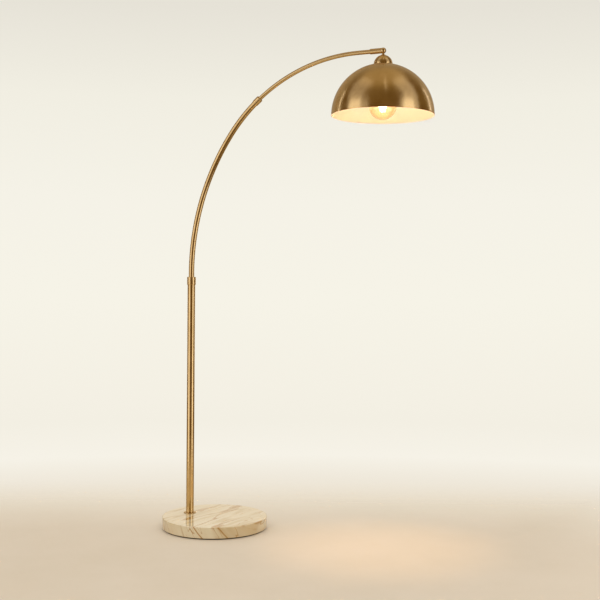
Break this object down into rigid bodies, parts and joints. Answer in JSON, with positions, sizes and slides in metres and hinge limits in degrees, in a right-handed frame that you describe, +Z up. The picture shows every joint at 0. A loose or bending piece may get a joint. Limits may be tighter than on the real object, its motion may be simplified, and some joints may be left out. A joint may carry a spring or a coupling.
{
  "type": "arc floor lamp",
  "caption": "Floor lamp with a round marble base, an upright brass pole, a telescopic arched arm and a hanging brass dome shade on a tilting knuckle.",
  "frame": {"origin": "On the floor, under the middle of the marble disc.", "axes": "+Z up, and +X the way that the arm reaches from the pole."},
  "size_m": [0.895, 0.34, 1.5047],
  "materials": {
    "satin_brass": "satin, brushed, clear lacquer",
    "cream_marble": "polished, with tan and gold veins",
    "black_foam": "closed-cell foam, matt",
    "black_plastic": "moulded, satin",
    "white_nylon": "moulded, matt",
    "zinc_steel": "bright zinc plate",
    "cream_plastic": "moulded, gloss",
    "contact_brass": "bare, pressed",
    "white_ceramic": "unglazed",
    "amber_glass": "clear, warm tint",
    "filament_yellow": "phosphor coating, lit",
    "lead_sheath": "smooth flexible sheath"
  },
  "bodies": {
    "stand": {"marble_disc": "cream_marble", "base_pad": "black_foam", "cord_gland": "black_plastic", "base_flange": "satin_brass", "base_washer": "zinc_steel", "base_spring_washer": "zinc_steel", "base_nut": "zinc_steel", "base_stud": "zinc_steel", "pole_foot_plug": "zinc_steel", "pole_tube": "satin_brass", "pole_collar": "satin_brass", "pole_bush": "white_nylon", "pole_grub_screw": "zinc_steel", "lead_in_pole": "lead_sheath"},
    "lower_arm": {"lower_arc_tube": "satin_brass", "arm_collar": "satin_brass", "arm_mouth_bush": "white_nylon", "arm_grub_screw": "zinc_steel", "lead_in_lower_arc": "lead_sheath"},
    "upper_arm": {"upper_arc_tube": "satin_brass", "arm_slider": "white_nylon", "knuckle_sleeve": "satin_brass", "sleeve_grub_screw": "zinc_steel", "pivot_screw": "zinc_steel", "friction_washer_front": "white_nylon", "friction_washer_back": "white_nylon", "lead_in_upper_arc": "lead_sheath"},
    "head": {"knuckle_tongue": "satin_brass", "shade_cap": "satin_brass", "shade_dome": "satin_brass", "shade_washer": "zinc_steel", "shade_nut": "zinc_steel", "spacer_tube": "satin_brass", "holder_cap": "cream_plastic", "holder_skirt": "cream_plastic", "holder_core": "white_ceramic", "holder_screw_shell": "contact_brass", "holder_contact": "contact_brass", "bulb_glass": "amber_glass", "bulb_screw_cap": "contact_brass", "bulb_insulator": "black_plastic", "bulb_tip": "contact_brass", "bulb_stem": "amber_glass", "bulb_filament": "filament_yellow", "lead_in_head": "lead_sheath"}
  },
  "joints": [
    {"name": "arm_swivel", "type": "hinge", "parent": "stand", "child": "lower_arm", "pos_m": [-0.094, 0, 0.814], "axis": [0, 0, 1], "range_deg": [-120, 120]},
    {"name": "arc_extension", "type": "hinge", "parent": "lower_arm", "child": "upper_arm", "pos_m": [0.48629, 0, 0.95849], "axis": [0, 1, 0], "range_deg": [-2.5, 7]},
    {"name": "shade_tilt", "type": "hinge", "parent": "upper_arm", "child": "head", "pos_m": [0.56799, 0, 1.49599], "axis": [0, 1, 0], "range_deg": [-75, 20]}
  ]
}
